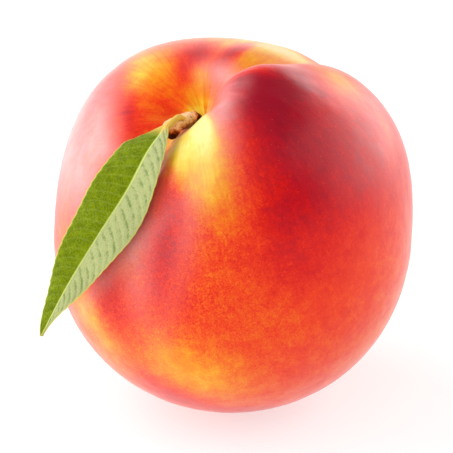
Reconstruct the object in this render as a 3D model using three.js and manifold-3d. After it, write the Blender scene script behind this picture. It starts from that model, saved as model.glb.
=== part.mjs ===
// A ripe nectarine with its woody stem and one leaf, lying on its flat spot.
// Millimetres, +Z up, the front towards -Y. The origin is the centre of the flat spot.
// The fruit is a star-shaped body: its skin is a distance from one centre, given by a formula.

import * as THREE from "three";
import * as BufferGeometryUtils from "three/addons/utils/BufferGeometryUtils.js";
import Module from "manifold-3d";

const manifold = await Module();
manifold.setup();

// ---- Driving dimensions of the fruit ----

const FRUIT_CENTRE = new THREE.Vector3(1.5, 0.7, 35.3);
const HALF_WIDTH = 35.8;
const HALF_HEIGHT_TOP = 35.4;
const HALF_HEIGHT_LOW = 36.2;
const SQUARENESS_TOP = 2.7; // exponent of the superellipse above the widest girth
const SQUARENESS_LOW = 2.06; // and below it
const GIRTH_BLEND = 0.15; // half the band, as a cosine, where the two halves blend

const BODY_TILT = 6.2; // degrees from +Z, and the heading that the axis leans to, from +X
const BODY_HEADING = 63;
const BASIN_TILT = 14.5;
const BASIN_HEADING = -145;

const BASIN = { depth: 11.4, reach: 0.39, power: 1.35, eccentricity: 0.66, steepSide: 104 };
// The suture is deepest round topPolar; its shallower run down the side fades in over sideFrom
// and out again, before the apex, over sideTo.
const SUTURE = {
  azimuth: 50,
  width: 4.3,
  depthTop: 2.5,
  topPolar: 0.55,
  topSpread: 0.4,
  depthSide: 0.6,
  sideFrom: [0.15, 0.7],
  sideTo: [2.6, 3.08],
};
const TROUGH = { azimuth: 222, depth: 4.9, width: 6.0, polar: 0.55, spread: 0.35 };
const APEX = { depth: 0.9, spread: 0.22 };
const FURROW_FADE = 0.25; // cosine of the turn past which a furrow keeps its whole depth

// Swellings of the skin: height in mm, polar angle and its spread in radians, azimuth in
// degrees and its spread in radians.
const SHOULDERS = [
  { height: 2.3, polar: 0.38, azimuth: 98, polarSpread: 0.2, azimuthSpread: 0.42 },
  { height: 0.8, polar: 0.6, azimuth: 120, polarSpread: 0.3, azimuthSpread: 0.6 },
  { height: 1.0, polar: 0.42, azimuth: 170, polarSpread: 0.2, azimuthSpread: 0.3 },
  { height: 4.4, polar: 0.8, azimuth: -25, polarSpread: 0.5, azimuthSpread: 0.8 },
  { height: 0.8, polar: 0.75, azimuth: 200, polarSpread: 0.35, azimuthSpread: 0.5 },
];

const FRUIT_ROWS = 48;
const FRUIT_COLUMNS = 64;
const ROW_BUNCHING = 1.25; // above 1 the rows crowd towards the basin
const FLAT_BLOCK = 40; // side of the block whose top cuts the flat spot

// ---- Driving dimensions of the stem ----

const STEM_PATH = [
  [-4.5, -3.1, 57.2],
  [-5.2, -4.6, 60.4],
  [-6.6, -7.5, 62.4],
  [-8.8, -10.8, 62.8],
  [-11.0, -14.0, 62.2],
];
const STEM_RADIUS = 1.45;
const STEM_FOOT = { swell: 0.15, share: 0.25, spread: 0.12 };
const STEM_END = { swell: 0.25, share: 0.92, spread: 0.12, roundFrom: 0.94 };
const STEM_LUMP = 0.14; // height of the bark's lumps
// Each wave of lumps runs round the stem and along it: its share, turns round and radians along.
const STEM_WAVES = [
  { share: 1, round: 3, along: 9 },
  { share: 0.7, round: 2, along: -17 },
];
const STEM_STEPS = 26;
const STEM_SIDES = 14;
const STEM_ACROSS = new THREE.Vector3(1, -0.6, 0); // where the angle round the stem starts
const SOCKET_CLEARANCE = 0.3;
const SOCKET_SHARE = 0.62; // share of the stem's path that the socket follows

// ---- Driving dimensions of the leaf ----

const LEAF_PATH = [
  [-8.8, -12.7, 64.9],
  [-11.2, -16.6, 64.1],
  [-14.3, -21.4, 61.7],
  [-18.4, -24.7, 54.8],
  [-23.8, -25.5, 46.1],
  [-29.9, -25.1, 35.3],
  [-35.5, -22.7, 23.1],
];
const LEAF_FACE = new THREE.Vector3(-0.62, -0.7, 0.16); // where the upper side looks
// early below 1 widens a half near its stalk; a lower fullness makes it rounder at its ends
const LEAF_LEFT = { width: 7.3, early: 0.64, fullness: 0.72 };
const LEAF_RIGHT = { width: 7.3, early: 0.73, fullness: 1.2 };
const LEAF_THICKNESS = 0.7;
const LEAF_FOLD = 14; // degrees that each half is folded up from flat
const LEAF_CURL = 0.1; // how far the margins bend back down, as a share of the half width
const STALK_RADIUS = 0.6;
const STALK_SHARE = 0.065; // share of the path that is stalk
const STALK_BLEND = 0.07; // share of the path over which the stalk widens into the blade
const CORE_TAPER = 0.6; // how much thinner the midrib's core is at the tip, as a share
const STALK_FLATNESS = 0.85; // 1 would bring the stalk's section to an edge at its sides
const MIDRIB_HEIGHT = 0.45;
const MIDRIB_WIDTH = 0.8;
const TEETH_PER_SIDE = 24;
const TOOTH_DEPTH = 0.22;
const TOOTH_RANGE = [0.1, 0.4]; // share of the half width over which the teeth set in
const LEAF_STEPS = 72;
const LEAF_CELLS = 8; // across the blade

// ---- Small helpers ----

const radians = THREE.MathUtils.degToRad;
const smooth = THREE.MathUtils.smoothstep;

/** A bell curve of height 1 at 0 that falls to 1/e at the given spread. */
function bell(distance, spread) {
  return Math.exp(-((distance / spread) ** 2));
}

/** A unit vector tilted from +Z towards a heading, both in degrees. */
function tiltedAxis(tilt, heading) {
  const t = radians(tilt);
  const h = radians(heading);
  return new THREE.Vector3(Math.sin(t) * Math.cos(h), Math.sin(t) * Math.sin(h), Math.cos(t));
}

/** The part of a vector across an axis, at unit length. */
function across(vector, axis) {
  return vector.clone().addScaledVector(axis, -vector.dot(axis)).normalize();
}

/** An angle in radians brought between -pi and pi. */
function wrapped(angle) {
  return Math.atan2(Math.sin(angle), Math.cos(angle));
}

// ---- The fruit's skin ----

const BODY_AXIS = tiltedAxis(BODY_TILT, BODY_HEADING);
const BASIN_AXIS = tiltedAxis(BASIN_TILT, BASIN_HEADING);
const BACKWARD = across(new THREE.Vector3(0, 1, 0), BASIN_AXIS); // azimuth 0
const RIGHTWARD = BACKWARD.clone().cross(BASIN_AXIS); // azimuth 90

/** Unit vector at a polar angle from the basin's axis and an azimuth round it, in radians. */
function skinDirection(polar, azimuth) {
  return BASIN_AXIS.clone()
    .multiplyScalar(Math.cos(polar))
    .addScaledVector(BACKWARD, Math.sin(polar) * Math.cos(azimuth))
    .addScaledVector(RIGHTWARD, Math.sin(polar) * Math.sin(azimuth));
}

/** Radius of the plain body: a superellipse turned about the body's axis. */
function bodyRadius(direction) {
  const cosine = direction.dot(BODY_AXIS);
  const sine = Math.sqrt(Math.max(0, 1 - cosine * cosine));
  const upper = smooth(cosine, -GIRTH_BLEND, GIRTH_BLEND);
  const power = THREE.MathUtils.lerp(SQUARENESS_LOW, SQUARENESS_TOP, upper);
  const halfHeight = THREE.MathUtils.lerp(HALF_HEIGHT_LOW, HALF_HEIGHT_TOP, upper);
  const sum = (sine / HALF_WIDTH) ** power + (Math.abs(cosine) / halfHeight) ** power;
  return sum ** (-1 / power);
}

/** Depth of the stem basin, which is narrow and steep on one side. */
function basinDepth(polar, azimuth) {
  const reach = BASIN.reach * (1 - BASIN.eccentricity * Math.cos(azimuth - radians(BASIN.steepSide)));
  return BASIN.depth * Math.exp(-((polar / reach) ** BASIN.power));
}

/** Depth of a furrow that runs down one meridian, before its own profile along the meridian. */
function furrow(polar, azimuth, middle, radius, width) {
  const turn = wrapped(azimuth - radians(middle));
  const aside = Math.sin(THREE.MathUtils.clamp(turn, -Math.PI / 2, Math.PI / 2));
  const arc = radius * Math.sin(polar) * aside;
  return bell(arc, width) * smooth(Math.cos(turn), 0, FURROW_FADE);
}

/** Depth of the suture, the crease from the basin to the apex. */
function sutureDepth(polar, azimuth, radius) {
  const top = SUTURE.depthTop * bell(polar - SUTURE.topPolar, SUTURE.topSpread);
  const ends = smooth(polar, ...SUTURE.sideFrom) * (1 - smooth(polar, ...SUTURE.sideTo));
  const side = SUTURE.depthSide * ends;
  return (top + side) * furrow(polar, azimuth, SUTURE.azimuth, radius, SUTURE.width);
}

/** Depth of the trough that the leaf's stalk leaves the basin through. */
function troughDepth(polar, azimuth, radius) {
  const along = TROUGH.depth * bell(polar - TROUGH.polar, TROUGH.spread);
  return along * furrow(polar, azimuth, TROUGH.azimuth, radius, TROUGH.width);
}

/** Height of the shoulders round the basin. */
function shoulderHeight(polar, azimuth) {
  let height = 0;
  for (const shoulder of SHOULDERS) {
    const turn = wrapped(azimuth - radians(shoulder.azimuth));
    const along = bell(polar - shoulder.polar, shoulder.polarSpread);
    height += shoulder.height * along * bell(turn, shoulder.azimuthSpread);
  }
  return height;
}

/** A point of the skin. */
function skinPoint(polar, azimuth) {
  const direction = skinDirection(polar, azimuth);
  let radius = bodyRadius(direction) - basinDepth(polar, azimuth);
  radius -= sutureDepth(polar, azimuth, radius);
  radius -= troughDepth(polar, azimuth, radius);
  radius += shoulderHeight(polar, azimuth);
  radius -= APEX.depth * bell(Math.PI - polar, APEX.spread);
  return FRUIT_CENTRE.clone().addScaledVector(direction, radius);
}

/** The whole skin as one closed mesh of rows from the basin's pole to the apex. */
function skinGeometry() {
  const points = [skinPoint(0, 0)];
  for (let row = 1; row < FRUIT_ROWS; row++) {
    const polar = Math.PI * (row / FRUIT_ROWS) ** ROW_BUNCHING;
    for (let column = 0; column < FRUIT_COLUMNS; column++) {
      points.push(skinPoint(polar, (-2 * Math.PI * column) / FRUIT_COLUMNS));
    }
  }
  points.push(skinPoint(Math.PI, 0));
  return closedRings(points, FRUIT_ROWS - 1, FRUIT_COLUMNS);
}

// ---- Meshes and solids ----

/**
 * Closed mesh from a first point, equal rings of points and a last point. The rings run
 * anticlockwise seen from the first point's side.
 */
function closedRings(points, rings, sides) {
  const last = points.length - 1;
  const index = [];
  const at = (ring, side) => 1 + ring * sides + (side % sides);
  for (let side = 0; side < sides; side++) {
    index.push(0, at(0, side), at(0, side + 1));
    index.push(last, at(rings - 1, side + 1), at(rings - 1, side));
    for (let ring = 0; ring < rings - 1; ring++) {
      const corners = [at(ring, side), at(ring + 1, side), at(ring + 1, side + 1), at(ring, side + 1)];
      index.push(corners[0], corners[1], corners[2], corners[0], corners[2], corners[3]);
    }
  }
  const geometry = new THREE.BufferGeometry().setFromPoints(points);
  geometry.setIndex(index);
  return geometry;
}

/** A solid from a closed geometry. */
function solidFrom(geometry) {
  const bare = geometry.clone();
  bare.deleteAttribute("normal");
  bare.deleteAttribute("uv");
  const merged = BufferGeometryUtils.mergeVertices(bare);
  return new manifold.Manifold(
    new manifold.Mesh({
      numProp: 3,
      vertProperties: new Float32Array(merged.attributes.position.array),
      triVerts: new Uint32Array(merged.index.array),
    }),
  );
}

/** A geometry from a solid. */
function geometryFrom(solid) {
  const mesh = solid.getMesh();
  const geometry = new THREE.BufferGeometry();
  geometry.setAttribute("position", new THREE.BufferAttribute(mesh.vertProperties, 3));
  geometry.setIndex(new THREE.BufferAttribute(mesh.triVerts, 1));
  return geometry;
}

/** A smooth curve through a short list of points. */
function curveThrough(path) {
  return new THREE.CatmullRomCurve3(path.map((point) => new THREE.Vector3(...point)));
}

// ---- The stem ----

/** Radius of the stem at a share of its length and an angle round it. */
function stemRadius(share, angle) {
  const foot = STEM_FOOT.swell * bell(share - STEM_FOOT.share, STEM_FOOT.spread);
  const end = STEM_END.swell * bell(share - STEM_END.share, STEM_END.spread);
  let lumps = 0;
  for (const wave of STEM_WAVES) lumps += wave.share * Math.sin(wave.round * angle + wave.along * share);
  const past = smooth(share, STEM_END.roundFrom, 2 - STEM_END.roundFrom);
  const rounded = Math.sqrt(1 - past ** 2);
  return (STEM_RADIUS + foot + end + STEM_LUMP * lumps) * rounded;
}

/** A round rod along the first share of the stem's path, with a radius by a formula. */
function rodAlongStem(share, radiusAt) {
  const curve = curveThrough(STEM_PATH);
  const steps = Math.ceil(STEM_STEPS * share);
  const points = [curve.getPointAt(0)];
  for (let step = 0; step <= steps; step++) {
    const at = (share * step) / steps;
    const centre = curve.getPointAt(at);
    const along = curve.getTangentAt(at);
    const sideways = across(STEM_ACROSS, along);
    const upward = along.clone().cross(sideways);
    for (let side = 0; side < STEM_SIDES; side++) {
      const angle = (-2 * Math.PI * side) / STEM_SIDES;
      const radius = radiusAt(at, angle);
      points.push(
        centre
          .clone()
          .addScaledVector(sideways, radius * Math.cos(angle))
          .addScaledVector(upward, radius * Math.sin(angle)),
      );
    }
  }
  points.push(curve.getPointAt(share));
  return closedRings(points, steps + 1, STEM_SIDES);
}

/** The whole stem. */
function stemGeometry() {
  return rodAlongStem(1, stemRadius);
}

/** The room that the stem's foot needs in the basin's floor. */
function socketGeometry() {
  const room = STEM_RADIUS + STEM_FOOT.swell + 2 * STEM_LUMP + SOCKET_CLEARANCE;
  const socket = rodAlongStem(SOCKET_SHARE, () => room);
  const along = curveThrough(STEM_PATH).getTangentAt(0);
  return socket.translate(...along.multiplyScalar(-SOCKET_CLEARANCE));
}

// ---- The fruit with its flat spot and socket ----

/** The fruit's solid: its skin less what lies below the flat spot and less the socket. */
function fruitGeometry() {
  const below = new THREE.BoxGeometry(FLAT_BLOCK, FLAT_BLOCK, FLAT_BLOCK).translate(0, 0, -FLAT_BLOCK / 2);
  const skin = solidFrom(skinGeometry());
  return geometryFrom(skin.subtract(solidFrom(below)).subtract(solidFrom(socketGeometry())));
}

// ---- The leaf ----

/** Half width of one half of the blade at a share of its own length, with its fine teeth. */
function bladeHalfWidth(share, half) {
  const outline = Math.sin(Math.PI * share ** half.early) ** half.fullness;
  const saw = Math.abs(((share * TEETH_PER_SIDE) % 1) - 0.5) * 2;
  return half.width * outline - TOOTH_DEPTH * saw * smooth(outline, ...TOOTH_RANGE);
}

/** Outline, fold and midrib of the leaf's cross-section at a share of its path. */
function leafSection(share) {
  const bladeShare = THREE.MathUtils.clamp((share - STALK_SHARE) / (1 - STALK_SHARE), 0, 1);
  const stalk = 1 - smooth(share, STALK_SHARE, STALK_SHARE + STALK_BLEND);
  const core = STALK_RADIUS * (1 - CORE_TAPER * bladeShare);
  return {
    left: Math.max(core, bladeHalfWidth(bladeShare, LEAF_LEFT)),
    right: Math.max(core, bladeHalfWidth(bladeShare, LEAF_RIGHT)),
    stalk,
    fold: radians(LEAF_FOLD) * (1 - stalk),
    midrib: MIDRIB_HEIGHT * (1 - bladeShare),
  };
}

/** Height of the middle surface and half thickness at a place across the section. */
function leafProfile(section, place) {
  const aside = Math.abs(place) * (place < 0 ? section.left : section.right);
  const lift = aside * (Math.sin(section.fold) - LEAF_CURL * (1 - section.stalk) * Math.abs(place));
  const round = STALK_RADIUS * Math.sqrt(1 - STALK_FLATNESS * place * place);
  const half = THREE.MathUtils.lerp(LEAF_THICKNESS / 2, round, section.stalk);
  const rib = section.midrib * (1 - section.stalk) * bell(aside, MIDRIB_WIDTH);
  const sideways = Math.sign(place) * aside * Math.cos(section.fold);
  return { sideways, lift, above: half, below: half + rib };
}

/** The leaf: rings of points over the upper side and back under the lower side. */
function leafGeometry() {
  const curve = curveThrough(LEAF_PATH);
  const points = [curve.getPointAt(0)];
  for (let step = 0; step <= LEAF_STEPS; step++) {
    const share = step / LEAF_STEPS;
    const section = leafSection(share);
    const centre = curve.getPointAt(share);
    const along = curve.getTangentAt(share);
    const face = across(LEAF_FACE, along);
    const sideways = face.clone().cross(along);
    const upper = [];
    const lower = [];
    for (let cell = 0; cell <= LEAF_CELLS; cell++) {
      const place = (2 * cell) / LEAF_CELLS - 1;
      const profile = leafProfile(section, place);
      const middle = centre
        .clone()
        .addScaledVector(sideways, profile.sideways)
        .addScaledVector(face, profile.lift);
      upper.push(middle.clone().addScaledVector(face, profile.above));
      lower.unshift(middle.clone().addScaledVector(face, -profile.below));
    }
    points.push(...upper, ...lower);
  }
  points.push(curve.getPointAt(1));
  return closedRings(points, LEAF_STEPS + 1, 2 * (LEAF_CELLS + 1));
}

// ---- The scene graph ----

/** A named mesh with its own finish. */
function piece(name, geometry, color, roughness) {
  const material = new THREE.MeshStandardMaterial({ color, roughness, metalness: 0 });
  const mesh = new THREE.Mesh(geometry, material);
  mesh.name = name;
  return mesh;
}

const nectarine = new THREE.Group();
nectarine.add(
  piece("fruit", fruitGeometry(), 0xd9482f, 0.4),
  piece("stem", stemGeometry(), 0x8a5433, 0.85),
  piece("leaf", leafGeometry(), 0x6f9a1e, 0.5),
);

export default nectarine;
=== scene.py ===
"""A ripe nectarine with its woody stem and one leaf, in a white studio.

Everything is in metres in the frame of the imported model: +Z up, the front towards -Y and the
origin at the centre of the flat spot that the fruit rests on. Shapes are worked out in
millimetres, as whole numpy arrays, and scaled when they become meshes.
"""

import logging
import math
from dataclasses import astuple, dataclass
from enum import Enum
from typing import Any, Optional, Sequence, Union

import bpy
import numpy as np
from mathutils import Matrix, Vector


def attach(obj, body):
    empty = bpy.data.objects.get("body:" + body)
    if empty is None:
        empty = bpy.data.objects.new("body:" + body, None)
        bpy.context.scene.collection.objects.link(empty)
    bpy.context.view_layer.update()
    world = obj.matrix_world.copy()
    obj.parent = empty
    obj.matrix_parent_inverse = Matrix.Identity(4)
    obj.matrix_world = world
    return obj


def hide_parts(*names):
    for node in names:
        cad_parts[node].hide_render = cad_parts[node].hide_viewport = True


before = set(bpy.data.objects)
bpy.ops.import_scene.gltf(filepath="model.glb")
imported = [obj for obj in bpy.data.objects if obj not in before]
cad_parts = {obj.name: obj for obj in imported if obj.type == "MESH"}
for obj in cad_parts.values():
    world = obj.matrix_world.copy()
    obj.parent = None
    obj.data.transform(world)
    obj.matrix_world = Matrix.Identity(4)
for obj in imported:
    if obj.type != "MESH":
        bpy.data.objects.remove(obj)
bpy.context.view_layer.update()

LOG = logging.getLogger("nectarine")
MM = 0.001

Array = np.ndarray
Point = tuple[float, float, float]
Colour = tuple[float, float, float]
Span = tuple[float, float]


class Slot(Enum):
    """Names for the skin, bark and leaf finishes; nothing in this script uses them."""

    SKIN = "skin"
    BARK = "bark"
    LEAF = "leaf"


# --- Small mathematics ---

LONG_WORD = 0xFFFFFFFF
SHORT_WORD = 0xFFFF
AXIS_PRIMES = np.array([73856093, 19349663, 83492791])
SEED_PRIME = 2654435761
SCRAMBLES = ((15, 2246822519), (13, 3266489917))
LAYER_SHIFT = 17.3


def bell(distance: Array, spread: float) -> Array:
    """A bell curve of height 1: e to the power of minus (distance / spread) squared."""
    return np.exp(-((distance / spread) ** 2))


@dataclass(frozen=True)
class Hump:
    """A bell-shaped rise of a height and a spread round a middle."""

    height: float
    spread: float
    middle: float = 0.0

    def at(self, value: Array) -> Array:
        """The height times a bell of the value less the middle."""
        return self.height * bell(value - self.middle, self.spread)


def smooth(value: Array, low: float, high: float) -> Array:
    """0 below low, 1 above high, and the cubic 3t^2 - 2t^3 between them."""
    t = np.clip((value - low) / (high - low), 0.0, 1.0)
    return t * t * (3.0 - 2.0 * t)


def wrapped(angle: Array) -> Array:
    """An angle in radians brought between -pi and pi."""
    return np.arctan2(np.sin(angle), np.cos(angle))


def unit(vector: Array) -> Array:
    """Vectors along the last axis at length 1."""
    return vector / np.maximum(np.linalg.norm(vector, axis=-1, keepdims=True), 1e-12)


def across(vector: Array, axis: Array) -> Array:
    """The part of a vector at right angles to a unit axis, at length 1."""
    return unit(vector - axis * np.sum(vector * axis, axis=-1, keepdims=True))


def around(angle: Array, first: Array, second: Array) -> Array:
    """Vectors turned from first towards second: cos angle times first plus sin angle times second."""
    return np.cos(angle)[..., None] * first + np.sin(angle)[..., None] * second


def rolled(angle: Array, along: Array, girth: Union[float, Array], pitch: float) -> Array:
    """Places on a roll, so that noise closes round it: girth cos, girth sin, pitch times along."""
    parts = girth * np.cos(angle), girth * np.sin(angle), pitch * along
    return np.stack(np.broadcast_arrays(*parts), axis=-1)


def full_turn(steps: int) -> Array:
    """Even angles from 0 to just under a full turn."""
    return np.arange(steps) * 2 * math.pi / steps


def tilted_axis(tilt: float, heading: float) -> Array:
    """A unit vector tilted from +Z by tilt degrees towards a heading in degrees from +X."""
    t, h = math.radians(tilt), math.radians(heading)
    return np.array([math.sin(t) * math.cos(h), math.sin(t) * math.sin(h), math.cos(t)])


def value_noise(points: Array, seed: int) -> Array:
    """Smooth noise between -1 and 1.

    Each lattice corner gets a fixed random number from its whole coordinates and the seed, and
    a point blends its eight corners with the cubic 3t^2 - 2t^3 along each axis.

    Args:
        points: x, y and z along the last axis, in lattice cells.
        seed: changes the random numbers.

    Returns:
        One number for each point.
    """
    base = np.floor(points).astype(np.int64)
    share = points - base
    share = share * share * (3.0 - 2.0 * share)
    total = np.zeros(points.shape[:-1])
    for corner in np.ndindex(2, 2, 2):
        mixed = np.bitwise_xor.reduce((base + np.array(corner)) * AXIS_PRIMES, axis=-1)
        mixed = (mixed ^ (seed * SEED_PRIME)) & LONG_WORD
        for shift, factor in SCRAMBLES:
            mixed = ((mixed ^ (mixed >> shift)) * factor) & LONG_WORD
        number = (mixed & SHORT_WORD) / (SHORT_WORD / 2) - 1.0
        total += number * np.prod(np.where(np.array(corner) == 1, share, 1.0 - share), axis=-1)
    return total


def layered_noise(points: Array, seed: int, layers: int = 3) -> Array:
    """Value noise in octaves: each layer is twice as fine and half as strong as the last."""
    octaves = ((value_noise(points * 2.0**k + LAYER_SHIFT * k, seed + k), 0.5**k) for k in range(layers))
    return sum(noise * strength for noise, strength in octaves)


@dataclass(frozen=True)
class Route:
    """A smooth curve through a few points, in millimetres."""

    points: tuple[Point, ...]

    def dense(self, steps: int = 600) -> Array:
        """Points of the centripetal Catmull-Rom curve.

        Each span is a cubic in t whose tangents come from the chords on both sides, weighted by
        the square roots of their lengths. The ends are continued straight.

        Args:
            steps: how many even steps of the parameter to take.

        Returns:
            An array of steps + 1 points.
        """
        given = np.array(self.points)
        ends = (2 * given[:1] - given[1:2], given, 2 * given[-1:] - given[-2:-1])
        held = np.concatenate(ends)
        spans = len(held) - 3
        t = np.linspace(0.0, spans, steps + 1)
        span = np.minimum(t.astype(int), spans - 1)
        t = (t - span)[:, None]
        p0, p1, p2, p3 = (held[span + k] for k in range(4))
        d0, d1, d2 = (
            np.sqrt(np.linalg.norm(b - a, axis=1, keepdims=True))
            for a, b in ((p0, p1), (p1, p2), (p2, p3))
        )
        start = ((p1 - p0) / d0 - (p2 - p0) / (d0 + d1) + (p2 - p1) / d1) * d1
        end = ((p2 - p1) / d1 - (p3 - p1) / (d1 + d2) + (p3 - p2) / d2) * d1
        square = -3 * p1 + 3 * p2 - 2 * start - end
        cube = 2 * p1 - 2 * p2 + start + end
        return p1 + start * t + square * t**2 + cube * t**3

    def at(self, shares: Array) -> tuple[Array, Array]:
        """The curve at even lengths.

        Args:
            shares: shares of the length, from 0 to 1.

        Returns:
            The points, and the unit tangents there.
        """
        curve = self.dense()
        steps = np.linalg.norm(np.diff(curve, axis=0), axis=1)
        lengths = np.concatenate([[0.0], np.cumsum(steps)])
        wanted = np.clip(shares, 0.0, 1.0) * lengths[-1]
        tangent = unit(np.gradient(curve, axis=0))
        place = np.stack([np.interp(wanted, lengths, curve[:, k]) for k in range(3)], axis=-1)
        along = np.stack([np.interp(wanted, lengths, tangent[:, k]) for k in range(3)], axis=-1)
        return place, unit(along)

    def length(self) -> float:
        """The curve's length in millimetres."""
        return float(np.linalg.norm(np.diff(self.dense(), axis=0), axis=1).sum())

    def distance(self, points: Array, steps: int = 60) -> Array:
        """How far points are from a few steps of the curve, in millimetres."""
        gaps = [np.linalg.norm(points - place, axis=-1) for place in self.dense(steps)]
        return np.min(gaps, axis=0)


# --- Meshes ---


def closed_rings(
    name: str, rings: Array, first: Array, last: Array, attributes: dict[str, Array]
) -> bpy.types.Object:
    """A closed smooth mesh: quads between rings of points, and a fan to an end point at each end.

    Args:
        name: the piece's name.
        rings: points in millimetres, shaped (rings, sides, 3); the sides run clockwise seen
            from the first point's side.
        first: the point that closes the first ring.
        last: the point that closes the last ring.
        attributes: what the ring points carry, by name: numbers, shaped (rings, sides), or
            vectors, shaped (rings, sides, 3). An end point gets the mean of the ring beside it.

    Returns:
        The object, linked to the scene.
    """
    count, sides = rings.shape[:2]
    points = np.concatenate([first[None], rings.reshape(-1, 3), last[None]]) * MM
    here = 1 + np.arange(count * sides).reshape(count, sides)
    after = np.roll(here, -1, axis=1)
    quads = np.stack([here[:-1], after[:-1], after[1:], here[1:]], axis=-1).reshape(-1, 4)
    first_fan = np.stack([np.zeros(sides, int), after[0], here[0]], axis=-1)
    last_fan = np.stack([np.full(sides, 1 + count * sides), here[-1], after[-1]], axis=-1)
    mesh = bpy.data.meshes.new(name)
    mesh.from_pydata(points.tolist(), [], [*quads.tolist(), *first_fan.tolist(), *last_fan.tolist()])
    mesh.shade_smooth()
    for label, values in attributes.items():
        parts = values.shape[2:]
        ends = values[0].mean(axis=0)[None], values[-1].mean(axis=0)[None]
        padded = np.concatenate([ends[0], values.reshape(-1, *parts), ends[1]]).astype(np.float32)
        kind, slot = ("FLOAT_VECTOR", "vector") if parts else ("FLOAT", "value")
        mesh.attributes.new(label, kind, "POINT").data.foreach_set(slot, padded.ravel())
    mesh.validate()
    piece = bpy.data.objects.new(name, mesh)
    bpy.context.scene.collection.objects.link(piece)
    return piece


# --- Shader maths ---


def linear(*display: int) -> Colour:
    """A display colour of 0 to 255 as linear light, by the sRGB curve."""
    parts = (part / 255.0 for part in display)
    return tuple(c / 12.92 if c <= 0.04045 else ((c + 0.055) / 1.055) ** 2.4 for c in parts)


Term = Union["Socket", float]
Tint = Union["Socket", Colour]
Stops = Sequence[tuple[float, Colour]]
Key = Union[str, int]


@dataclass(frozen=True)
class Noise:
    """Noise in cells of 1 / scale, with finer layers.

    Rough is how strong each layer is beside the last, and bend how much the cells swirl.
    """

    scale: float
    detail: float = 3.0
    rough: float = 0.6
    bend: float = 0.0


@dataclass(frozen=True)
class Socket:
    """A number or colour that a node puts out, with the arithmetic of numbers."""

    shader: "Shader"
    socket: Optional[bpy.types.NodeSocket]

    def _maths(self, operation: str, first: Term, second: Term) -> "Socket":
        """Adds one Math node."""
        return self.shader.node("ShaderNodeMath", {"operation": operation}, {0: first, 1: second})

    def __add__(self, other: Term) -> "Socket":
        """This plus other."""
        return self._maths("ADD", self, other)

    __radd__ = __add__

    def __mul__(self, other: Term) -> "Socket":
        """This times other."""
        return self._maths("MULTIPLY", self, other)

    __rmul__ = __mul__

    def __sub__(self, other: Term) -> "Socket":
        """This minus other."""
        return self._maths("SUBTRACT", self, other)

    def __rsub__(self, other: Term) -> "Socket":
        """Other minus this."""
        return self._maths("SUBTRACT", other, self)

    def clamped(self) -> "Socket":
        """This held between 0 and 1."""
        return self.shader.node("ShaderNodeClamp", {}, {"Value": self})

    def stepped(self, low: float, high: float) -> "Socket":
        """A smooth step: 0 at low and 1 at high, or falling where low is above high."""
        inputs = {"Value": self, "From Min": low, "From Max": high}
        return self.shader.node("ShaderNodeMapRange", {"interpolation_type": "SMOOTHSTEP"}, inputs)


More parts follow.
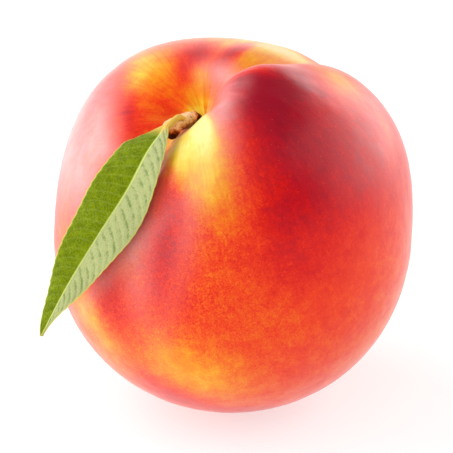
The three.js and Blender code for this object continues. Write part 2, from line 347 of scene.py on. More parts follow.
class Shader:
    """The node tree of one material or world."""

    def __init__(self, owner: Union[bpy.types.Material, bpy.types.World]) -> None:
        """Empties the owner's tree.

        Args:
            owner: the material or world.
        """
        self.owner = owner
        owner.use_nodes = True
        self.tree = owner.node_tree
        self.tree.nodes.clear()

    def node(self, kind: str, settings: dict[str, Any], inputs: dict[Key, Any], output: Key = 0) -> Socket:
        """Adds a node.

        Args:
            kind: the node's type.
            settings: its properties, set first; "ramp" holds a colour ramp's stops as
                (place, colour) pairs.
            inputs: values or sockets, by input name or number. A colour may have three parts.
            output: the output that is wanted.

        Returns:
            That output.
        """
        made = self.tree.nodes.new(kind)
        for key, value in settings.items():
            if key == "ramp":
                self._set_ramp(made.color_ramp, value)
            else:
                setattr(made, key, value)
        for key, value in inputs.items():
            slot = made.inputs[key]
            if isinstance(value, Socket):
                self.tree.links.new(value.socket, slot)
            elif slot.type == "RGBA" and len(value) == 3:
                slot.default_value = (*value, 1.0)
            else:
                slot.default_value = value
        return Socket(self, made.outputs[output] if made.outputs else None)

    @staticmethod
    def _set_ramp(ramp: bpy.types.ColorRamp, stops: Stops) -> None:
        """Gives a new colour ramp its stops.

        Args:
            ramp: the ramp to change.
            stops: (place, colour) pairs in rising order.
        """
        ramp.elements.remove(ramp.elements[-1])
        for index, (place, colour) in enumerate(stops):
            stop = ramp.elements[0] if index == 0 else ramp.elements.new(place)
            stop.position, stop.color = place, (*colour, 1.0)

    def ramp(self, factor: Socket, stops: Stops) -> Socket:
        """A colour from a ramp."""
        return self.node("ShaderNodeValToRGB", {"ramp": stops}, {0: factor})

    def mix(self, factor: Term, first: Tint, second: Tint) -> Socket:
        """A blend of two colours."""
        return self.node("ShaderNodeMix", {"data_type": "RGBA"}, {0: factor, 6: first, 7: second}, 2)

    def number(self, label: str) -> Socket:
        """A number that the mesh carries."""
        return self.node("ShaderNodeAttribute", {"attribute_name": label}, {}, "Fac")

    def vector(self, label: str) -> Socket:
        """A vector that the mesh carries."""
        return self.node("ShaderNodeAttribute", {"attribute_name": label}, {}, "Vector")

    def place(self) -> Socket:
        """The place on the object, in metres."""
        return self.node("ShaderNodeTexCoord", {}, {}, "Object")

    def noise(self, where: Socket, kind: Noise) -> Socket:
        """Noise of one kind, between -0.5 and 0.5."""
        inputs = dict(zip(("Scale", "Detail", "Roughness", "Distortion"), astuple(kind)))
        return self.node("ShaderNodeTexNoise", {}, {"Vector": where, **inputs}) - 0.5

    def cells(self, where: Socket, scale: float, feature: str = "F1") -> Socket:
        """Distance to scattered points, or to the walls between their cells."""
        inputs = {"Vector": where, "Scale": scale}
        return self.node("ShaderNodeTexVoronoi", {"feature": feature}, inputs, "Distance")

    def bump(self, height: Socket, distance: float, strength: float) -> Socket:
        """A normal from a height; the distance is the height's real size in metres."""
        inputs = {"Height": height, "Distance": distance, "Strength": strength}
        return self.node("ShaderNodeBump", {}, inputs)

    def surface(self, inputs: dict[str, Any]) -> bpy.types.Material:
        """Ends a material's tree with a Principled shader.

        Args:
            inputs: values or sockets for the shader, by input name.

        Returns:
            The material.
        """
        shader = self.node("ShaderNodeBsdfPrincipled", {}, inputs)
        self.node("ShaderNodeOutputMaterial", {}, {"Surface": shader})
        return self.owner


def dress(piece: bpy.types.Object, material: bpy.types.Material, node: str) -> None:
    """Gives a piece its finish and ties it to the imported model.

    Args:
        piece: the piece.
        material: its finish.
        node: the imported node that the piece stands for.
    """
    piece.data.materials.append(material)
    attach(piece, "root")
    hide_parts(node)
    LOG.info("%s: %d faces", piece.name, len(piece.data.polygons))


# --- The fruit ---


@dataclass(frozen=True)
class Spots:
    """Places on the skin, in radians.

    The polar angle is counted from the basin's axis, the azimuth round it from the back (+Y)
    towards the right (+X).
    """

    polar: Array
    azimuth: Array

    def turn(self, middle: float) -> Array:
        """How far round the places are from a meridian given in degrees."""
        return wrapped(self.azimuth - math.radians(middle))


@dataclass(frozen=True)
class Swelling:
    """A shoulder of the fruit: a bell of a height in mm round one place of the skin."""

    height: float
    polar: float
    azimuth: float
    polar_spread: float
    azimuth_spread: float


@dataclass(frozen=True)
class SkinShape:
    """The skin as a distance from the fruit's centre, in millimetres and radians.

    Tilts, headings and azimuths are given in degrees.
    """

    centre: Point = (1.5, 0.7, 35.3)
    half_width: float = 35.8
    half_height_top: float = 35.4
    half_height_low: float = 36.2
    squareness_top: float = 2.7
    squareness_low: float = 2.06
    girth_blend: float = 0.15
    body_tilt: float = 6.2
    body_heading: float = 63.0
    basin_tilt: float = 14.5
    basin_heading: float = -145.0
    basin_depth: float = 11.4
    basin_reach: float = 0.39
    basin_power: float = 1.35
    eccentricity: float = 0.66
    steep_side: float = 104.0
    suture_azimuth: float = 50.0
    suture_width: float = 4.3
    suture_top: Hump = Hump(2.5, 0.4, 0.55)
    suture_side: float = 0.6
    suture_from: Span = (0.15, 0.7)
    suture_to: Span = (2.6, 3.08)
    trough_azimuth: float = 222.0
    trough_width: float = 6.0
    trough_depth: Hump = Hump(4.9, 0.35, 0.55)
    furrow_fade: float = 0.25
    apex_depth: Hump = Hump(0.9, 0.22, math.pi)
    swellings: tuple[Swelling, ...] = (
        Swelling(2.3, 0.38, 98.0, 0.2, 0.42),
        Swelling(0.8, 0.6, 120.0, 0.3, 0.6),
        Swelling(1.0, 0.42, 170.0, 0.2, 0.3),
        Swelling(4.4, 0.8, -25.0, 0.5, 0.8),
        Swelling(0.8, 0.75, 200.0, 0.35, 0.5),
    )

    def directions(self, spots: Spots) -> Array:
        """Unit vectors from the centre: cos polar along the basin's axis, sin polar across it.

        Args:
            spots: places on the skin.

        Returns:
            The vectors, with x, y and z along the last axis.
        """
        axis = tilted_axis(self.basin_tilt, self.basin_heading)
        backward = across(np.array([0.0, 1.0, 0.0]), axis)
        round_axis = around(spots.azimuth, backward, np.cross(backward, axis))
        return around(spots.polar, axis, round_axis)

    def _body(self, direction: Array) -> Array:
        """Radius of a superellipse turned about the body's axis, blended at its girth.

        Args:
            direction: unit vectors from the centre.

        Returns:
            One radius for each direction.
        """
        cosine = direction @ tilted_axis(self.body_tilt, self.body_heading)
        sine = np.sqrt(np.maximum(0.0, 1.0 - cosine**2))
        upper = smooth(cosine, -self.girth_blend, self.girth_blend)
        power = self.squareness_low + (self.squareness_top - self.squareness_low) * upper
        half_height = self.half_height_low + (self.half_height_top - self.half_height_low) * upper
        total = (sine / self.half_width) ** power + (np.abs(cosine) / half_height) ** power
        return total ** (-1.0 / power)

    def _furrow(self, spots: Spots, middle: float, radius: Array, width: float) -> Array:
        """A bell across one meridian, by the arc's length aside of it, faded at its back.

        Args:
            spots: places on the skin.
            middle: the meridian's azimuth in degrees.
            radius: the skin's radius so far.
            width: the bell's spread in mm.

        Returns:
            The bell's height, from 0 to 1.
        """
        turn = spots.turn(middle)
        arc = radius * np.sin(spots.polar) * np.sin(np.clip(turn, -math.pi / 2, math.pi / 2))
        return bell(arc, width) * smooth(np.cos(turn), 0.0, self.furrow_fade)

    def radius(self, spots: Spots) -> Array:
        """Body less basin, suture and trough, with the shoulders, less the apex's dimple.

        Args:
            spots: places on the skin.

        Returns:
            Radii in millimetres.
        """
        polar = spots.polar
        radius = self._body(self.directions(spots))
        reach = self.basin_reach * (1.0 - self.eccentricity * np.cos(spots.turn(self.steep_side)))
        radius = radius - self.basin_depth * np.exp(-((polar / reach) ** self.basin_power))
        ends = smooth(polar, *self.suture_from) * (1.0 - smooth(polar, *self.suture_to))
        suture = self._furrow(spots, self.suture_azimuth, radius, self.suture_width)
        radius = radius - (self.suture_top.at(polar) + self.suture_side * ends) * suture
        trough = self._furrow(spots, self.trough_azimuth, radius, self.trough_width)
        radius = radius - self.trough_depth.at(polar) * trough
        for one in self.swellings:
            along = bell(polar - one.polar, one.polar_spread)
            radius = radius + one.height * along * bell(spots.turn(one.azimuth), one.azimuth_spread)
        return radius - self.apex_depth.at(polar)


@dataclass(frozen=True)
class Patch:
    """A slanted bell on the skin that adds an amount to one quality of it.

    Azimuth in degrees, polar angle in radians, half sizes across and along the meridian in mm.
    The slant is how many mm the bell leans aside for each mm along the meridian.
    """

    name: str
    azimuth: float
    polar: float
    wide: float
    long: float
    amount: float
    slant: float = 0.0

    def spread(self, spots: Spots, girth: float) -> Array:
        """The amount times e to the power of minus (x / wide) squared less (y / long) squared.

        Here y is the arc along the meridian, and x is the arc across it less slant times y.

        Args:
            spots: places on the skin.
            girth: the radius that turns angles into arcs, in mm.

        Returns:
            What the patch adds at each place.
        """
        y = (spots.polar - self.polar) * girth
        x = spots.turn(self.azimuth) * girth * np.sin(spots.polar) - self.slant * y
        return self.amount * np.exp(-((x / self.wide) ** 2) - (y / self.long) ** 2)


@dataclass(frozen=True)
class SkinFinish:
    """The skin: one ramp from yellow to crimson under a pale painted reflection haze, finely mottled."""

    stops: Stops = (
        (0.00, linear(236, 228, 120)),
        (0.14, linear(240, 200, 45)),
        (0.28, linear(238, 150, 10)),
        (0.42, linear(236, 104, 4)),
        (0.56, linear(232, 56, 8)),
        (0.70, linear(214, 18, 8)),
        (0.85, linear(180, 2, 26)),
        (1.00, linear(148, 0, 30)),
    )
    # Painted reflection: the pale haze that stands in for the softboxes' gloss on the skin.
    bloom: Colour = linear(245, 208, 206)
    pore: Colour = linear(246, 150, 96)
    # Painted shade: the dark in the basin round the stem's foot, also used for the apex's scar.
    cork: Colour = linear(74, 24, 10)
    roughness: float = 0.32
    rays: tuple[tuple[Noise, float], ...] = ((Noise(1.0), 0.6), (Noise(3.2), 0.5), (Noise(8.0, 2.0), 0.5))
    streaks: float = 0.28
    mottle: Noise = Noise(340.0, 4.0, 0.65)
    mottles: float = 0.3
    speck: Noise = Noise(1700.0, 1.5, 0.6, 1.5)
    specks: float = 0.6
    specks_from: Span = (0.1, 0.5)
    pore_scale: float = 900.0
    pore_edge: Span = (0.14, 0.05)
    pores_from: Span = (0.5, 0.8)
    pores: float = 0.15
    grit: Noise = Noise(2600.0, 2.0, 0.5)
    swell: Noise = Noise(300.0, 2.0, 0.5)

    def material(self) -> bpy.types.Material:
        """The skin's nodes.

        The redness of the mesh is moved up and down by streaks along the meridians, by mottles
        and by fine specks, and then picks a colour from one ramp. Pores, a pale painted reflection
        haze and a dark painted shade round the stem lie over it; that dark also marks the apex's scar.

        Returns:
            The material.
        """
        shader = Shader(bpy.data.materials.new("ripe_skin"))
        place = shader.place()
        rays = shader.vector("rays")
        redness = shader.number("redness")
        broad, narrow, hairs = (shader.noise(rays, kind) * share for kind, share in self.rays)
        streak = (broad + narrow + hairs) * (shader.number("streaked") * self.streaks)
        mottle = shader.noise(place, self.mottle)
        speck = shader.noise(place, self.speck) * shader.number("grained")
        speck = speck * redness.stepped(*self.specks_from) * self.specks
        tone = (redness + streak + mottle * self.mottles + speck).clamped()
        colour = shader.ramp(tone, self.stops)
        pores = shader.cells(place, self.pore_scale).stepped(*self.pore_edge)
        pores = pores * redness.stepped(*self.pores_from) * self.pores
        colour = shader.mix(pores, colour, self.pore)
        # Painted reflection haze, mottled, laid over the skin's colour.
        painted_haze_mask = (shader.number("bloom") * (mottle * 1.2 + 1.0)).clamped()
        colour = shader.mix(painted_haze_mask, colour, self.bloom)
        # Painted shade round the stem, and the apex's own scar, in one dark colour.
        cork = shader.number("cork") * (mottle + 0.9).clamped()
        colour = shader.mix(cork, colour, self.cork)
        relief = shader.noise(place, self.grit) * 0.5 + shader.noise(place, self.swell) * 1.5
        return shader.surface(
            {
                "Base Color": colour,
                "Roughness": mottle * 0.15 + self.roughness,
                "Normal": shader.bump(relief, distance=0.00006, strength=0.7),
                "Specular IOR Level": 0.5,
                "Specular Tint": (1.0, 0.4, 0.38),
                "Subsurface Weight": 0.12,
                "Subsurface Radius": (1.0, 0.35, 0.12),
                "Subsurface Scale": 0.002,
                "Sheen Weight": 0.28,
                "Sheen Roughness": 0.35,
                "Sheen Tint": (1.0, 0.86, 0.84),
            }
        )


@dataclass
class Fruit:
    """The whole fruit in its skin."""

    stem: Route
    shape: SkinShape = SkinShape()
    finish: SkinFinish = SkinFinish()
    rows: int = 250
    columns: int = 360
    bunching: float = 1.25
    dent: float = 0.05
    dent_cells: float = 9.0
    dents_from: Span = (0.1, 0.3)
    wrinkles: Hump = Hump(0.16, 0.12, 0.22)
    wrinkle_cells: Span = (5.0, 2.0)
    drift: float = 0.05
    drift_cells: float = 2.4
    ray_cells: Span = (7.0, 1.3)
    streak_loss: float = 0.75
    streak_fade: Span = (0.5, 1.5)
    stem_shade_reach: Span = (1.5, 3.2)
    scar_reach: Span = (0.015, 0.05)
    ground: float = 0.545
    blushes: tuple[Patch, ...] = (
        Patch("crimson cheek", 93.0, 0.67, 9.4, 14.9, 0.44, -0.90),
        Patch("crimson brow", 119.0, 0.29, 2.9, 4.4, 0.39),
        Patch("crimson foot", 136.0, 0.62, 6.0, 7.2, 0.20, -0.13),
        Patch("crimson flank", 134.0, 0.91, 22.2, 15.3, 0.32, -0.78),
        Patch("red fringe of the crimson", 174.0, 1.06, 10.0, 14.1, 0.53, -0.48),
        Patch("pale lip under the stem", 181.0, 0.27, 2.3, 10.3, -0.80, -0.17),
        Patch("golden skirt of the lip", 183.0, 0.77, 8.6, 20.1, -0.80, -0.38),
        Patch("amber edge under the stem", 209.0, 0.58, 3.1, 14.3, 0.18, -0.86),
        Patch("red band beside the lip", 199.0, 1.08, 3.4, 11.8, 0.20, 0.28),
        Patch("golden shoulder, right", 83.0, 0.80, 8.0, 6.5, -0.77, -0.38),
        Patch("golden flank, right", 94.0, 1.09, 4.5, 3.2, -0.20, 0.69),
        Patch("golden back strip", 9.0, 1.17, 13.0, 28.0, -0.50, -0.33),
        Patch("yellow far wall", 315.0, 0.50, 5.2, 5.7, -0.40, 0.74),
        Patch("orange basin floor", 340.0, 0.33, 5.1, 16.5, -0.36, -0.25),
        Patch("red basin edge, left", 306.0, 0.62, 12.6, 18.9, 0.17, -0.90),
        Patch("red line along that edge", 277.0, 0.45, 6.9, 1.2, 0.14, -0.70),
        Patch("golden back band", 43.0, 0.83, 4.0, 6.0, -0.35, 0.90),
        Patch("red streak, far wall", 356.0, 0.44, 3.2, 5.6, 0.80, 0.37),
        Patch("red streak by the suture", 24.0, 0.56, 1.8, 4.7, 0.48, 0.21),
        Patch("golden cleft", 357.0, 0.41, 2.9, 4.4, -0.67, -0.04),
        Patch("orange foot", 211.0, 1.87, 14.2, 10.6, -0.44, -0.06),
        Patch("orange foot, left", 228.0, 1.61, 8.3, 15.0, -0.70, -0.60),
        Patch("red mark, front left", 218.0, 1.84, 8.0, 22.8, 0.80, -0.45),
        Patch("foot, front", 204.0, 2.28, 9.0, 8.0, -0.30),
        Patch("red back", 320.0, 1.25, 14.0, 16.0, 0.18),
        Patch("yellow underside, back", 20.0, 2.10, 18.0, 14.0, -0.24),
    )
    # Painted reflection haze where the softboxes' gloss falls; 'beside the leaf' is painted light over the
    # leaf's shadow.
    painted_hazes: tuple[Patch, ...] = (
        Patch("left cheek", 305.0, 0.87, 33.3, 7.8, 0.59, -0.90),
        Patch("left cheek's edge", 267.0, 0.64, 11.7, 3.6, 0.30, -0.57),
        Patch("lobe beside the lip", 161.0, 0.40, 2.9, 9.3, 0.26, 0.27),
        Patch("skirt of the lip", 180.0, 0.66, 3.2, 26.4, 0.13, 0.44),
        Patch("front, left", 211.0, 1.06, 4.3, 16.4, 0.20, -0.06),
        Patch("beside the leaf", 222.0, 1.26, 2.7, 11.4, 0.19, 0.90),
        Patch("ridge by the suture", 32.0, 0.34, 5.6, 3.9, 0.47, -0.90),
        Patch("right flank", 106.0, 1.05, 8.2, 8.8, 0.18, 0.29),
        Patch("band behind the cheek", 38.0, 0.77, 3.2, 5.5, 0.30, 0.90),
    )
    grain_ground: float = 0.35
    grains: tuple[Patch, ...] = (Patch("front", 205.0, 1.30, 26.0, 26.0, 0.65),)

    def _spots(self) -> Spots:
        """A grid whose polar angles crowd towards the basin, with even azimuths."""
        polar = math.pi * (np.arange(1, self.rows) / self.rows) ** self.bunching
        return Spots(*np.meshgrid(polar, full_turn(self.columns), indexing="ij"))

    def _points(self, spots: Spots) -> Array:
        """The skin's points, with faint dents and basin wrinkles, settled flat on the surface.

        Args:
            spots: places on the skin.

        Returns:
            Points in millimetres.
        """
        direction = self.shape.directions(spots)
        dents = self.dent * layered_noise(direction * self.dent_cells, seed=5)
        round_basin = rolled(spots.azimuth, spots.polar, *self.wrinkle_cells)
        wrinkles = self.wrinkles.at(spots.polar) * layered_noise(round_basin, seed=41)
        radius = self.shape.radius(spots) + dents * smooth(spots.polar, *self.dents_from) + wrinkles
        points = np.array(self.shape.centre) + direction * radius[..., None]
        points[..., 2] = np.maximum(points[..., 2], 0.0)
        return points

    def _painted(self, ground: float, patches: Sequence[Patch], spots: Spots) -> Array:
        """A quality of the skin: its ground amount plus every patch."""
        return ground + sum(patch.spread(spots, self.shape.half_width) for patch in patches)

    def build(self) -> None:
        """Builds the fruit and dresses it."""
        spots = self._spots()
        points = self._points(spots)
        poles = [self._points(Spots(np.array([pole]), np.zeros(1)))[0] for pole in (0.0, math.pi)]
        drift = self.drift * layered_noise(self.shape.directions(spots) * self.drift_cells, seed=11)
        # Painted shade: dark near the stem, down in the basin; the apex's scar is the fruit's own mark.
        cork = 1.0 - smooth(self.stem.distance(points), *self.stem_shade_reach)
        scar = 1.0 - smooth(math.pi - spots.polar, *self.scar_reach)
        attributes = {
            "redness": self._painted(self.ground, self.blushes, spots) + drift,
            # The painted reflection haze.
            "bloom": self._painted(0.0, self.painted_hazes, spots),
            "grained": self._painted(self.grain_ground, self.grains, spots),
            "streaked": 1.0 - self.streak_loss * smooth(spots.polar, *self.streak_fade),
            "cork": np.maximum(cork, scar),
            "rays": rolled(spots.azimuth, spots.polar, *self.ray_cells),
        }
        piece = closed_rings("nectarine_skin", points, *poles, attributes)
        dress(piece, self.finish.material(), "fruit")


# --- The stem ---


@dataclass(frozen=True)
class BarkFinish:
    """Rough bark with painted light and shade: pale tan above, red brown below; dark pits, painted shade
    at its foot and darker at its end.
    """

    pale: Colour = linear(246, 200, 146)
    tan: Colour = linear(222, 140, 74)
    brown: Colour = linear(180, 66, 2)
    dark: Colour = linear(56, 12, 2)
    lumps: Noise = Noise(800.0, 4.0, 0.7)
    # Painted light: paler where the bark faces up, red brown where it faces down.
    painted_light_from: Span = (0.3, 1.0)
    pit_scale: float = 900.0
    pit_edge: Span = (0.34, 0.12)
    pits_from: Span = (-0.05, 0.1)
    pits: float = 0.75

    def material(self) -> bpy.types.Material:
        """The bark's nodes: painted light by how far up the bark looks, with noise, painted shade at the
        foot, a darker end and pits.

        Returns:
            The material.
        """
        shader = Shader(bpy.data.materials.new("stem_bark"))
        place = shader.place()
        lumps = shader.noise(place, self.lumps)
        # Painted light and shade: the upper side paler, the underside darker.
        painted_top_light = shader.number("upward").stepped(*self.painted_light_from)
        # The painted shade at the foot and the darker end lower the tone.
        tone = painted_top_light * 0.6 + lumps * 2.4 + shader.number("foot_shade_and_dark_end") + 0.5
        stops = ((0.0, self.dark), (0.3, self.brown), (0.55, self.tan), (0.85, self.pale))
        colour = shader.ramp(tone.clamped(), stops)
        pits = shader.cells(place, self.pit_scale).stepped(*self.pit_edge)
        pits = pits * lumps.stepped(*self.pits_from)
        colour = shader.mix(pits * self.pits, colour, self.dark)
        return shader.surface(
            {
                "Base Color": colour,
                "Roughness": lumps * 0.3 + 0.6,
                "Normal": shader.bump(lumps * 1.4 - pits * 0.8, distance=0.00022, strength=0.9),
                "Specular IOR Level": 0.2,
                "Specular Tint": (1.0, 0.7, 0.4),
            }
        )


@dataclass
class Stem:
    """The short woody stem that leans out of the basin, with painted shade at its foot and darker towards
    its end.
    """

    route: Route = Route(
        (
            (-4.5, -3.1, 57.2),
            (-5.2, -4.6, 60.4),
            (-6.6, -7.5, 62.4),
            (-8.8, -10.8, 62.8),
            (-11.0, -14.0, 62.2),
        )
    )
    finish: BarkFinish = BarkFinish()
    radius: float = 1.45
    foot_swell: Hump = Hump(0.15, 0.12, 0.25)
    end_swell: Hump = Hump(0.25, 0.12, 0.92)
    closes_from: float = 0.94
    lump: float = 0.14
    wart: float = 0.16
    wart_cells: float = 0.9
    ridge: float = 0.1
    ridge_cells: Span = (3.0, 2.0)
    # Painted shade on the foot, down in the basin; the end is only made darker.
    foot_shade: float = 1.3
    foot_shade_reach: Span = (0.36, 0.52)
    end_darkening: float = 0.45
    end_dark_reach: Span = (0.84, 0.97)
    across: Point = (1.0, -0.6, 0.0)
    steps: int = 190
    sides: int = 120

    def build(self) -> None:
        """Builds the stem and dresses it.

        It is a rod swollen at foot and end, with lumps, warts and ridges, closed over its end.
        """
        share = np.linspace(0.0, 1.0, self.steps)[:, None]
        angle = full_turn(self.sides)[None, :]
        centre, along = self.route.at(share[:, 0])
        sideways = across(np.array(self.across), along)
        outward = around(angle, sideways[:, None], np.cross(along, sideways)[:, None])
        rod = self.radius + self.foot_swell.at(share) + self.end_swell.at(share)
        surface = centre[:, None] + outward * rod[..., None]
        lumps = np.sin(3 * angle + 9 * share) + 0.7 * np.sin(2 * angle - 17 * share)
        warts = layered_noise(surface * self.wart_cells, seed=21, layers=4)
        ridges = layered_noise(rolled(angle, share, *self.ridge_cells), seed=31)
        relief = self.lump * lumps + self.wart * warts + self.ridge * ridges
        past = smooth(share, self.closes_from, 2.0 - self.closes_from)
        thick = (rod + relief) * np.sqrt(1.0 - past**2)
        points = centre[:, None] + outward * thick[..., None]
        # Painted shade on the foot, and a darker end.
        foot_shade_and_dark_end = -self.foot_shade * (1.0 - smooth(share, *self.foot_shade_reach))
        foot_shade_and_dark_end = foot_shade_and_dark_end - self.end_darkening * smooth(share, *self.end_dark_reach)
        # How far each point faces up, for the bark's painted light.
        attributes = {"upward": 0.5 + 0.5 * outward[..., 2], "foot_shade_and_dark_end": foot_shade_and_dark_end + 0.0 * angle}
        piece = closed_rings("stem_wood", points, centre[0], centre[-1], attributes)
        dress(piece, self.finish.material(), "stem")


# --- The leaf ---


@dataclass(frozen=True)
class HalfOutline:
    """How one half of the blade widens from its stalk to its tip.

    A width in mm times the sine, to the power of the fullness, of pi times a share to the
    power of early.
    """

    width: float
    early: float
    fullness: float

    def shape(self, share: Array) -> Array:
        """Half width as a share of the greatest."""
        return np.maximum(0.0, np.sin(math.pi * share**self.early)) ** self.fullness


@dataclass(frozen=True)
class LeafFinish:
    """The blade: deep green on one half, a painted sheen on the other with painted shade in its vein
    furrows, pale ribs.
    """

    deep: Colour = linear(90, 108, 0)
    bright: Colour = linear(126, 144, 2)
    # Painted sheen: the right half's pale grey green stands in for the softboxes' gloss.
    painted_sheen_green: Colour = linear(168, 172, 120)
    # Painted shade: the darker green on the shaded side of each vein furrow.
    shade: Colour = linear(104, 124, 72)
    under: Colour = linear(160, 182, 112)
    rib: Colour = linear(206, 216, 112)
    rim: Colour = linear(206, 204, 92)
    stalk: Colour = linear(222, 182, 82)
    patch: Noise = Noise(0.6, 4.0, 0.65)
    fine: Noise = Noise(3.0)
    grit: Noise = Noise(4000.0, 2.0, 0.5)
    net_scale: float = 1.3
    net_edge: Span = (0.1, 0.02)
    painted_sheen_share: float = 0.9
    paled: float = 0.85
    net_share: float = 0.06
    vein_share: float = 0.08
    rim_share: float = 0.7
    midrib_share: float = 0.85

    def material(self) -> bpy.types.Material:
        """The leaf's nodes: the halves' greens, the right half's under a painted sheen with painted
        shade in its furrows, then net, veins, rim, midrib and stalk over them.

        Returns:
            The material.
        """
        shader = Shader(bpy.data.materials.new("leaf_blade"))
        blade = shader.vector("blade")
        fine = shader.noise(blade, self.fine)
        patch = shader.noise(blade, self.patch)
        green = shader.mix((patch + fine * 0.8 + 0.45).stepped(0.2, 0.8), self.deep, self.bright)
        broken = (patch * 5.0 + 0.4).clamped()
        # Painted shade on one side of each side vein, broken up by noise.
        shade = (shader.number("painted_furrow_shade") * broken * 0.65 + fine * 1.8 + patch + 0.1).clamped()
        painted_sheen_green = shader.mix(shade, self.painted_sheen_green, self.shade)
        # Painted sheen on the right half's upper side.
        green = shader.mix(shader.number("right") * self.painted_sheen_share, green, painted_sheen_green)
        green = shader.mix(shader.number("under") * self.paled, green, self.under)
        net = shader.cells(blade, self.net_scale, "DISTANCE_TO_EDGE").stepped(*self.net_edge)
        lines = net * self.net_share + shader.number("vein") * self.vein_share
        colour = shader.mix(lines, green, self.rib)
        colour = shader.mix(shader.number("rim") * self.rim_share, colour, self.rim)
        colour = shader.mix(shader.number("midrib") * self.midrib_share, colour, self.rib)
        colour = shader.mix(shader.number("stalk"), colour, self.stalk)
        relief = net * -0.6 + fine * 0.5 + shader.noise(shader.place(), self.grit) * 0.4
        return shader.surface(
            {
                "Base Color": colour,
                "Roughness": fine * 0.2 + 0.45,
                "Normal": shader.bump(relief, distance=0.00007, strength=0.8),
                "Specular IOR Level": 0.12,
                "Specular Tint": (0.75, 0.95, 0.3),
            }
        )


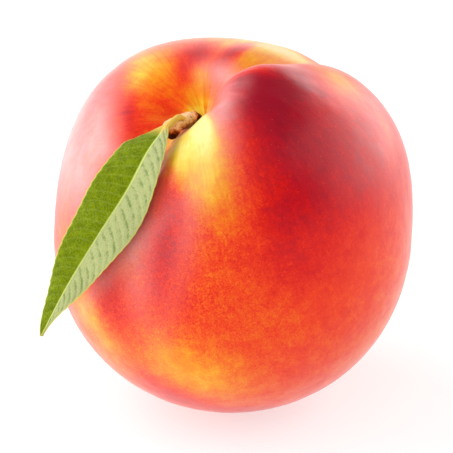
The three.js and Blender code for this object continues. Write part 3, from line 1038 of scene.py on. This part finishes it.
@dataclass
class Leaf:
    """The leaf: a stalk and a blade folded along its midrib, with a toothed edge.

    The stalk starts before the route, at its root inside the stem. The blade starts where the
    stalk's share of the route ends. Heights and widths are in millimetres.
    """

    root: Point = (-7.7, -10.2, 63.4)
    route: Route = Route(
        (
            (-8.8, -12.7, 64.9),
            (-11.2, -16.6, 64.1),
            (-14.3, -21.4, 61.7),
            (-18.4, -24.7, 54.8),
            (-23.8, -25.5, 46.1),
            (-29.9, -25.1, 35.3),
            (-35.5, -22.7, 23.1),
        )
    )
    face: Point = (-0.62, -0.70, 0.16)
    left: HalfOutline = HalfOutline(7.3, 0.64, 0.72)
    right: HalfOutline = HalfOutline(7.3, 0.73, 1.2)
    finish: LeafFinish = LeafFinish()
    thickness: float = 0.34
    rim_thinning: float = 0.85
    fold: float = 14.0
    curl: float = 0.1
    wave: float = 0.3
    wave_turn: float = 21.0
    wave_lag: float = 1.7
    stalk_radius: float = 0.6
    stalk_share: float = 0.065
    stalk_blend: float = 0.07
    midrib_below: Hump = Hump(0.5, 0.6)
    midrib_above: Hump = Hump(0.09, 0.3)
    midrib_valley: Hump = Hump(0.12, 0.75)
    midrib_taper: float = 0.75
    midrib_line: float = 0.21
    teeth: int = 24
    tooth_depth: float = 0.15
    tooth_back: float = 0.75
    vein_pairs: int = 24
    vein_lag: float = 0.45
    vein_bend: float = 0.04
    quilt: float = 0.07
    groove: Hump = Hump(0.06, 0.22)
    side_relief: Span = (0.4, 0.7)
    vein_line: float = 0.16
    furrow_shade_lag: float = 0.12
    rim_line: Span = (0.1, 0.34)
    steps: int = 430
    cells: int = 92

    def _widths(self, share: Array) -> tuple[Array, Array]:
        """Half widths with teeth that lean towards the tip.

        Args:
            share: shares of the blade's length.

        Returns:
            The left and the right half's widths in mm.
        """
        tooth = (share * self.teeth) % 1.0
        rising, falling = tooth / self.tooth_back, (1.0 - tooth) / (1.0 - self.tooth_back)
        saw = 1.0 - np.where(tooth < self.tooth_back, rising, falling)
        core = self.stalk_radius * (1.0 - 0.8 * share)
        widths = []
        for half in (self.left, self.right):
            outline = half.shape(share)
            cut = self.tooth_depth * saw * smooth(outline, 0.1, 0.4)
            widths.append(np.maximum(core, half.width * outline - cut))
        return widths[0], widths[1]

    def _vein_phase(self, share: Array, place: Array) -> Array:
        """How many vein gaps a place is past a side vein, from -0.5 to 0.5.

        The side veins leave the midrib alternately and bend towards the tip.

        Args:
            share: shares of the blade's length.
            place: how far out across a half, from -1 to 1.

        Returns:
            The phase; 0 is on a vein.
        """
        side = np.abs(place)
        phase = share - self.vein_bend * side - self.vein_bend * side**3
        number = phase * self.vein_pairs + np.where(place < 0, 0.0, self.vein_lag)
        return number - np.round(number)

    def build(self) -> None:
        """Builds the leaf and dresses it.

        Each cross-section runs over the upper side and back under the lower one. Its height is
        the fold's straight rise less a curl that grows with the square of the way out, plus a
        slow wave of the margins, the quilting between the side veins and the midrib.
        """
        whole = Route((self.root, *self.route.points))
        length = self.route.length()
        before = whole.length() / length - 1.0
        share = np.linspace(-before, 1.0, self.steps)[:, None]
        out_across = np.linspace(1.0, -1.0, self.cells + 1)
        place = np.concatenate([out_across, out_across[::-1]])[None, :]
        lower = np.repeat([0.0, 1.0], self.cells + 1)[None, :]
        blade_share = np.clip((share - self.stalk_share) / (1.0 - self.stalk_share), 0.0, 1.0)
        stalk = 1.0 - smooth(share, self.stalk_share, self.stalk_share + self.stalk_blend)
        blade = 1.0 - stalk
        left, right = self._widths(blade_share)
        width = np.where(place < 0, left, right)
        aside = np.abs(place) * width
        centre, along = whole.at((share[:, 0] + before) / (1.0 + before))
        face = across(np.array(self.face), along)
        sideways = np.cross(face, along)
        fold = math.radians(self.fold) * blade
        lift = aside * (np.sin(fold) - self.curl * blade * np.abs(place))
        turn = self.wave_turn * share + np.where(place < 0, 0.0, self.wave_lag)
        wave = self.wave * np.sin(turn) * place**2
        phase = self._vein_phase(blade_share, place)
        gap = phase / self.vein_pairs * length * (1.0 - self.stalk_share)
        spread = np.abs(place) * blade
        quilting = self.quilt * np.cos(2 * math.pi * phase + math.pi) - self.groove.at(gap)
        raised = np.where(place < 0, *self.side_relief) * quilting
        relief = raised * smooth(spread, 0.04, 0.2) * (1.0 - smooth(spread, 0.85, 1.0))
        taper = 1.0 - self.midrib_taper * blade_share
        rise = self.midrib_above.at(aside) * taper - self.midrib_valley.at(aside) * taper
        rib = self.midrib_below.at(aside) * taper * blade
        rim = 1.0 - self.rim_thinning * np.abs(place) ** 10
        round_half = self.stalk_radius * np.sqrt(1.0 - 0.92 * place**2)
        upper_side = self.thickness / 2 * rim * blade + round_half * stalk
        offset = np.where(lower > 0, -(upper_side + rib), upper_side + rise * blade)
        height = lift + wave * blade + relief + offset
        out = np.sign(place) * aside * np.cos(fold)
        points = centre[:, None] + sideways[:, None] * out[..., None] + face[:, None] * height[..., None]
        ones = np.ones_like(height)
        inner = smooth(spread, 0.03, 0.08) * (1.0 - smooth(spread, 0.8, 1.0))
        line = self.midrib_line * (1.0 - 0.6 * blade_share)
        attributes = {
            "vein": bell(gap, self.vein_line) * inner,
            # Painted shade beside each side vein.
            "painted_furrow_shade": smooth(np.cos(2 * math.pi * (phase - self.furrow_shade_lag)), 0.2, 1.0) * inner,
            "midrib": smooth(bell(aside, line), 0.2, 0.7) * ones,
            "rim": (1.0 - smooth(width - aside, *self.rim_line)) * blade,
            "stalk": stalk * ones,
            "under": lower * ones,
            # Marks the right half's upper side for its painted sheen.
            "right": smooth(place * ones, -0.01, 0.01) * (1.0 - lower),
            "blade": np.stack([share * length * ones, out * ones, 5.0 * lower * ones], axis=-1),
        }
        piece = closed_rings("leaf_blade", points, centre[0], centre[-1], attributes)
        dress(piece, self.finish.material(), "leaf")


# --- The studio ---


def hang(name: str, data: bpy.types.ID, target: Point, spot: Point) -> bpy.types.Object:
    """Links a lamp or camera that looks at a target.

    Args:
        name: its name.
        data: the lamp or camera.
        target: what it looks at, in metres.
        spot: azimuth in degrees from the front towards the right, elevation in degrees, and
            distance from the target in metres.

    Returns:
        The object.
    """
    made = bpy.data.objects.new(name, data)
    around, above = math.radians(spot[0]), math.radians(spot[1])
    level = np.array([math.sin(around), -math.cos(around), 0.0])
    toward = level * math.cos(above) + np.array([0.0, 0.0, math.sin(above)])
    place = np.array(target) + toward * spot[2]
    made.location = place.tolist()
    look = Vector((np.array(target) - place).tolist())
    made.rotation_euler = look.to_track_quat("-Z", "Y").to_euler()
    bpy.context.scene.collection.objects.link(made)
    return made


@dataclass(frozen=True)
class Softbox:
    """A rectangular lamp, seen or not in the gloss of things.

    Its spot is its azimuth and elevation in degrees and its distance in metres, as for hang.
    """

    name: str
    spot: Point
    size: Span
    radiance: float
    glossy: bool = True

    def build(self, target: Point) -> None:
        """Hangs the lamp; its power is its radiance times pi times its area.

        Args:
            target: what it looks at, in metres.
        """
        lamp = bpy.data.lights.new(self.name, "AREA")
        lamp.shape = "RECTANGLE"
        lamp.size, lamp.size_y = self.size
        lamp.energy = self.radiance * math.pi * self.size[0] * self.size[1]
        hang(self.name, lamp, target, self.spot).visible_glossy = self.glossy


@dataclass
class Studio:
    """White floor, a room that is white behind the fruit, softboxes and the camera."""

    floor_radius: float = 1.6
    floor_rise: float = 0.35
    floor_drop: float = 0.00005
    floor_thickness: float = 0.006
    floor_hole: float = 0.02
    floor_bend: Span = (0.6, 1.3)
    floor_rings: int = 60
    floor_sides: int = 96
    floor_colour: Colour = (0.45, 0.45, 0.45)
    floor_glow: float = 0.62
    room_front: float = 0.02
    room_turn: Span = (-0.5, 0.3)
    room_top: float = 0.02
    room_rise: Span = (0.45, 0.72)
    camera_spot: Point = (0.0, 24.0, 0.75)
    view_width: float = 0.090
    sensor: float = 36.0
    nearest: float = 0.01
    target: Point = (0.0005, 0.0007, 0.0360)
    lamps: tuple[Softbox, ...] = (
        Softbox("softbox_left", (-104.0, 30.0, 0.6), (0.72, 0.72), 3.1),
        Softbox("softbox_right", (85.0, 30.0, 0.6), (0.5, 0.6), 1.8),
        Softbox("softbox_right_rear", (138.0, 15.0, 0.6), (0.45, 0.45), 1.9),
        Softbox("fill_left", (-42.0, 15.0, 0.8), (0.6, 0.6), 1.7, glossy=False),
        Softbox("fill_front", (0.0, 35.0, 0.8), (0.6, 0.6), 1.4, glossy=False),
        Softbox("fill_top", (0.0, 80.0, 0.8), (0.6, 0.6), 1.0, glossy=False),
    )

    def build(self) -> None:
        """Builds everything round the fruit."""
        self._floor()
        self._surround()
        for lamp in self.lamps:
            lamp.build(self.target)
        self._camera()

    def _floor(self) -> None:
        """A wide disc of faintly glowing white paper, whose rim rises in a bend."""
        share = np.linspace(self.floor_hole, 1.0, self.floor_rings)[:, None]
        angle = full_turn(self.floor_sides)[None, :]
        reach = self.floor_radius / MM * share
        rise = self.floor_rise / MM * smooth(share, *self.floor_bend) - self.floor_drop / MM
        top = rolled(angle, rise, reach, 1.0)
        down = np.array([0.0, 0.0, -self.floor_thickness / MM])
        middle = np.array([0.0, 0.0, -self.floor_drop / MM])
        rings = np.concatenate([top, top[::-1] + down])
        floor = closed_rings("studio_floor", rings, middle, middle + down, {})
        shader = Shader(bpy.data.materials.new("studio_paper"))
        paper = shader.surface(
            {
                "Base Color": self.floor_colour,
                "Roughness": 0.7,
                "Specular IOR Level": 0.2,
                "Emission Color": (1.0, 1.0, 1.0),
                "Emission Strength": self.floor_glow,
            }
        )
        floor.data.materials.append(paper)

    def _surround(self) -> None:
        """A room whose white fades towards the camera's side and towards its ceiling."""
        world = bpy.data.worlds.new("white_room")
        shader = Shader(world)
        direction = shader.node("ShaderNodeTexCoord", {}, {}, "Generated")
        backward = shader.node("ShaderNodeSeparateXYZ", {}, {"Vector": direction}, "Y")
        upward = shader.node("ShaderNodeSeparateXYZ", {}, {"Vector": direction}, "Z")
        turned = backward.stepped(*self.room_turn) * (1.0 - self.room_front)
        ceiling = upward.stepped(*self.room_rise) * (self.room_top - 1.0) + 1.0
        strength = (turned + self.room_front) * ceiling
        light = shader.node("ShaderNodeBackground", {}, {"Strength": strength})
        shader.node("ShaderNodeOutputWorld", {}, {"Surface": light})
        scene = bpy.context.scene
        scene.world = world
        scene.view_settings.view_transform = "Standard"

    def _camera(self) -> None:
        """A long lens whose frame is view_width wide at the fruit."""
        lens = bpy.data.cameras.new("camera")
        lens.sensor_width = self.sensor
        lens.lens = self.sensor * self.camera_spot[2] / self.view_width
        lens.clip_start = self.nearest
        bpy.context.scene.camera = hang("camera", lens, self.target, self.camera_spot)


def main() -> None:
    """Builds the nectarine and its studio."""
    logging.basicConfig(level=logging.INFO, format="%(message)s")
    Studio().build()
    stem = Stem()
    stem.build()
    Fruit(stem.route).build()
    Leaf().build()


if __name__ == "__main__":
    main()
